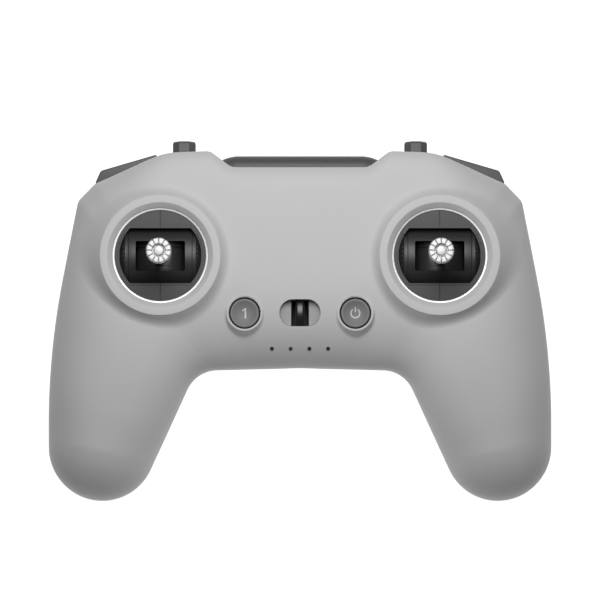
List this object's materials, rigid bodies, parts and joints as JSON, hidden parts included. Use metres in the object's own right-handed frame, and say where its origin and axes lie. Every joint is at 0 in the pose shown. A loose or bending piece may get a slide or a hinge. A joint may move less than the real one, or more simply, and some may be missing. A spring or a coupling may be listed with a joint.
{
  "type": "radio transmitter controller",
  "caption": "Hand-held radio transmitter: game-pad housing with thumb-stick gimbals, face buttons, shoulder toggles and bumpers, a tilt dial and a folding aerial flap at the back.",
  "frame": {"origin": "on the table under the middle of the transmitter as it lies on its back", "axes": "+X to the right across the face, +Y from the grips to the shoulders, +Z out of the face"},
  "size_m": [0.1654, 0.1184, 0.062],
  "materials": {
    "shell": "fine matte moulding",
    "trim_silver": "bright turned ring",
    "cover_plastic": "matte moulding",
    "frame_plastic": "matte moulding",
    "drum_plastic": "satin moulding",
    "stick_metal": "turned and bead blasted",
    "steel": "plain",
    "magnet": "nickel plated",
    "button_plastic": "satin moulding",
    "control_plastic": "matte moulding",
    "bar_plastic": "polished",
    "lamp_plastic": "smoked",
    "circuit_board": "solder mask",
    "black_part": "moulded component",
    "led": "clear",
    "battery_wrap": "shrink wrap"
  },
  "bodies": {
    "body": {"front_shell": "shell", "rear_shell": "shell", "left_trim_ring": "trim_silver", "right_trim_ring": "trim_silver", "left_gimbal_cover": "cover_plastic", "right_gimbal_cover": "cover_plastic", "left_gimbal_frame": "frame_plastic", "right_gimbal_frame": "frame_plastic", "sensor_boards": "circuit_board", "gimbal_screws": "steel", "tact_switches": "black_part", "light_pipe": "lamp_plastic", "status_leds": "led", "lanyard_bar": "bar_plastic", "toggle_pins": "steel", "toggle_switches": "black_part", "bumper_pins": "steel", "bumper_switches": "black_part", "dial_axle": "steel", "flap_pins": "steel", "main_board": "circuit_board", "board_screws": "steel", "battery_pack": "battery_wrap", "buzzer": "black_part", "usb_shell": "steel", "usb_tongue": "black_part", "stick_sleeves": "frame_plastic", "shell_screws": "steel"},
    "left_drum": {"left_pitch_drum": "drum_plastic"},
    "left_stick": {"left_roll_rocker": "frame_plastic", "left_rocker_pin": "steel", "left_stick_shaft": "stick_metal", "left_stick_crown": "stick_metal", "left_magnet": "magnet"},
    "right_drum": {"right_pitch_drum": "drum_plastic"},
    "right_stick": {"right_roll_rocker": "frame_plastic", "right_rocker_pin": "steel", "right_stick_shaft": "stick_metal", "right_stick_crown": "stick_metal", "right_magnet": "magnet"},
    "custom_button": {"custom_button": "button_plastic"},
    "power_button": {"power_button": "button_plastic"},
    "left_toggle": {"left_toggle": "control_plastic"},
    "right_toggle": {"right_toggle": "control_plastic"},
    "left_bumper": {"left_bumper": "control_plastic"},
    "right_bumper": {"right_bumper": "control_plastic"},
    "tilt_dial": {"tilt_dial": "control_plastic"},
    "antenna_flap": {"antenna_flap": "control_plastic"}
  },
  "joints": [
    {"name": "left_stick_pitch", "type": "hinge", "parent": "body", "child": "left_drum", "pos_m": [-0.0454, 0.0194, 0.031], "axis": [1, 0, 0], "range_deg": [-24, 24]},
    {"name": "left_stick_roll", "type": "hinge", "parent": "left_drum", "child": "left_stick", "pos_m": [-0.0454, 0.0194, 0.031], "axis": [0, 1, 0], "range_deg": [-24, 24], "stiffness_Nm_per_rad": 0.07},
    {"name": "right_stick_pitch", "type": "hinge", "parent": "body", "child": "right_drum", "pos_m": [0.0454, 0.0194, 0.031], "axis": [1, 0, 0], "range_deg": [-24, 24], "stiffness_Nm_per_rad": 0.07},
    {"name": "right_stick_roll", "type": "hinge", "parent": "right_drum", "child": "right_stick", "pos_m": [0.0454, 0.0194, 0.031], "axis": [0, 1, 0], "range_deg": [-24, 24], "stiffness_Nm_per_rad": 0.07},
    {"name": "custom_button_press", "type": "slide", "parent": "body", "child": "custom_button", "axis": [0, 0, -1], "range_m": [0, 0.0005], "stiffness_N_per_m": 2000},
    {"name": "power_button_press", "type": "slide", "parent": "body", "child": "power_button", "axis": [0, 0, -1], "range_m": [0, 0.0005], "stiffness_N_per_m": 2000},
    {"name": "left_toggle_tip", "type": "hinge", "parent": "body", "child": "left_toggle", "pos_m": [-0.0382, 0.0482, 0.019], "axis": [1, 0, 0], "range_deg": [-15, 15]},
    {"name": "right_toggle_tip", "type": "hinge", "parent": "body", "child": "right_toggle", "pos_m": [0.0382, 0.0482, 0.019], "axis": [1, 0, 0], "range_deg": [-15, 15]},
    {"name": "left_bumper_press", "type": "hinge", "parent": "body", "child": "left_bumper", "pos_m": [-0.0494, 0.0486, 0.0195], "axis": [0, 0, 1], "range_deg": [0, 3.5], "stiffness_Nm_per_rad": 0.3},
    {"name": "right_bumper_press", "type": "hinge", "parent": "body", "child": "right_bumper", "pos_m": [0.0494, 0.0486, 0.0195], "axis": [0, 0, -1], "range_deg": [0, 3.5], "stiffness_Nm_per_rad": 0.3},
    {"name": "tilt_dial_turn", "type": "hinge", "parent": "body", "child": "tilt_dial", "pos_m": [-0.0515, 0.0381, 0.0132], "axis": [1, 0, 0], "range_deg": [-25, 25], "stiffness_Nm_per_rad": 0.01},
    {"name": "antenna_flap_fold", "type": "hinge", "parent": "body", "child": "antenna_flap", "pos_m": [0, 0.0513, 0.013], "axis": [1, 0, 0], "range_deg": [0, 180]}
  ]
}
